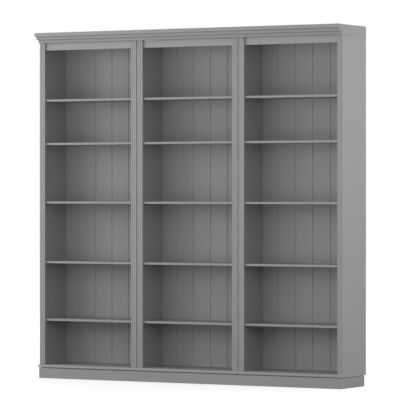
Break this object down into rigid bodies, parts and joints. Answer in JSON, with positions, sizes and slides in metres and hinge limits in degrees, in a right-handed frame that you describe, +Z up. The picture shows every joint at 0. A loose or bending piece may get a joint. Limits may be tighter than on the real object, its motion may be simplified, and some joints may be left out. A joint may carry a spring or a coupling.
{
  "type": "hidden door bookcase",
  "caption": "Tall painted open bookcase of equal bays with fluted stiles and a moulded cornice; the middle bay is a concealed door that swings out on hidden pivots.",
  "frame": {"origin": "on the floor, under the middle of the bookcase's overall box", "axes": "+Z up, +X to the right seen from the front, the open front faces -Y"},
  "size_m": [2.161, 0.38, 2.2],
  "materials": {
    "paint": "satin grey paint on wood",
    "bare_wood": "unpainted softwood",
    "pivot_steel": "zinc plated steel",
    "bush_brass": "turned brass",
    "magnet_plating": "nickel plated magnet",
    "buffer_rubber": "black rubber"
  },
  "bodies": {
    "cabinet": {"plinth_front": "paint", "plinth_end_left": "paint", "plinth_end_right": "paint", "plinth_back": "paint", "joist_left": "bare_wood", "joist_right": "bare_wood", "pivot_block": "bare_wood", "left_side_left": "paint", "left_side_right": "paint", "left_sill": "paint", "left_top_board": "paint", "left_frieze_rail": "paint", "left_back_boards": "paint", "left_shelf_1": "paint", "left_shelf_2": "paint", "left_shelf_3": "paint", "left_shelf_4": "paint", "left_shelf_5": "paint", "left_stile_left": "paint", "left_stile_right": "paint", "right_side_left": "paint", "right_side_right": "paint", "right_sill": "paint", "right_top_board": "paint", "right_frieze_rail": "paint", "right_back_boards": "paint", "right_shelf_1": "paint", "right_shelf_2": "paint", "right_shelf_3": "paint", "right_shelf_4": "paint", "right_shelf_5": "paint", "right_stile_left": "paint", "right_stile_right": "paint", "cornice_moulding": "paint", "cornice_side_left": "paint", "cornice_side_right": "paint", "cornice_back": "paint", "header_board": "paint", "lower_pivot_socket": "pivot_steel", "upper_pivot_bush": "bush_brass", "catch_magnet": "magnet_plating", "stop_buffer_lower": "buffer_rubber", "stop_buffer_upper": "buffer_rubber"},
    "door_leaf": {"door_side_left": "paint", "door_side_right": "paint", "door_sill": "paint", "door_top_board": "paint", "door_frieze_rail": "paint", "door_back_boards": "paint", "door_shelf_1": "paint", "door_shelf_2": "paint", "door_shelf_3": "paint", "door_shelf_4": "paint", "door_shelf_5": "paint", "door_stile_left": "paint", "door_stile_right": "paint", "lower_pivot_pin": "pivot_steel", "upper_pivot_pin": "pivot_steel", "catch_strike": "pivot_steel"}
  },
  "joints": [
    {"name": "door_swing", "type": "hinge", "parent": "cabinet", "child": "door_leaf", "pos_m": [-0.2935, -0.107, 0.065], "axis": [0, 0, -1], "range_deg": [0, 105]}
  ]
}
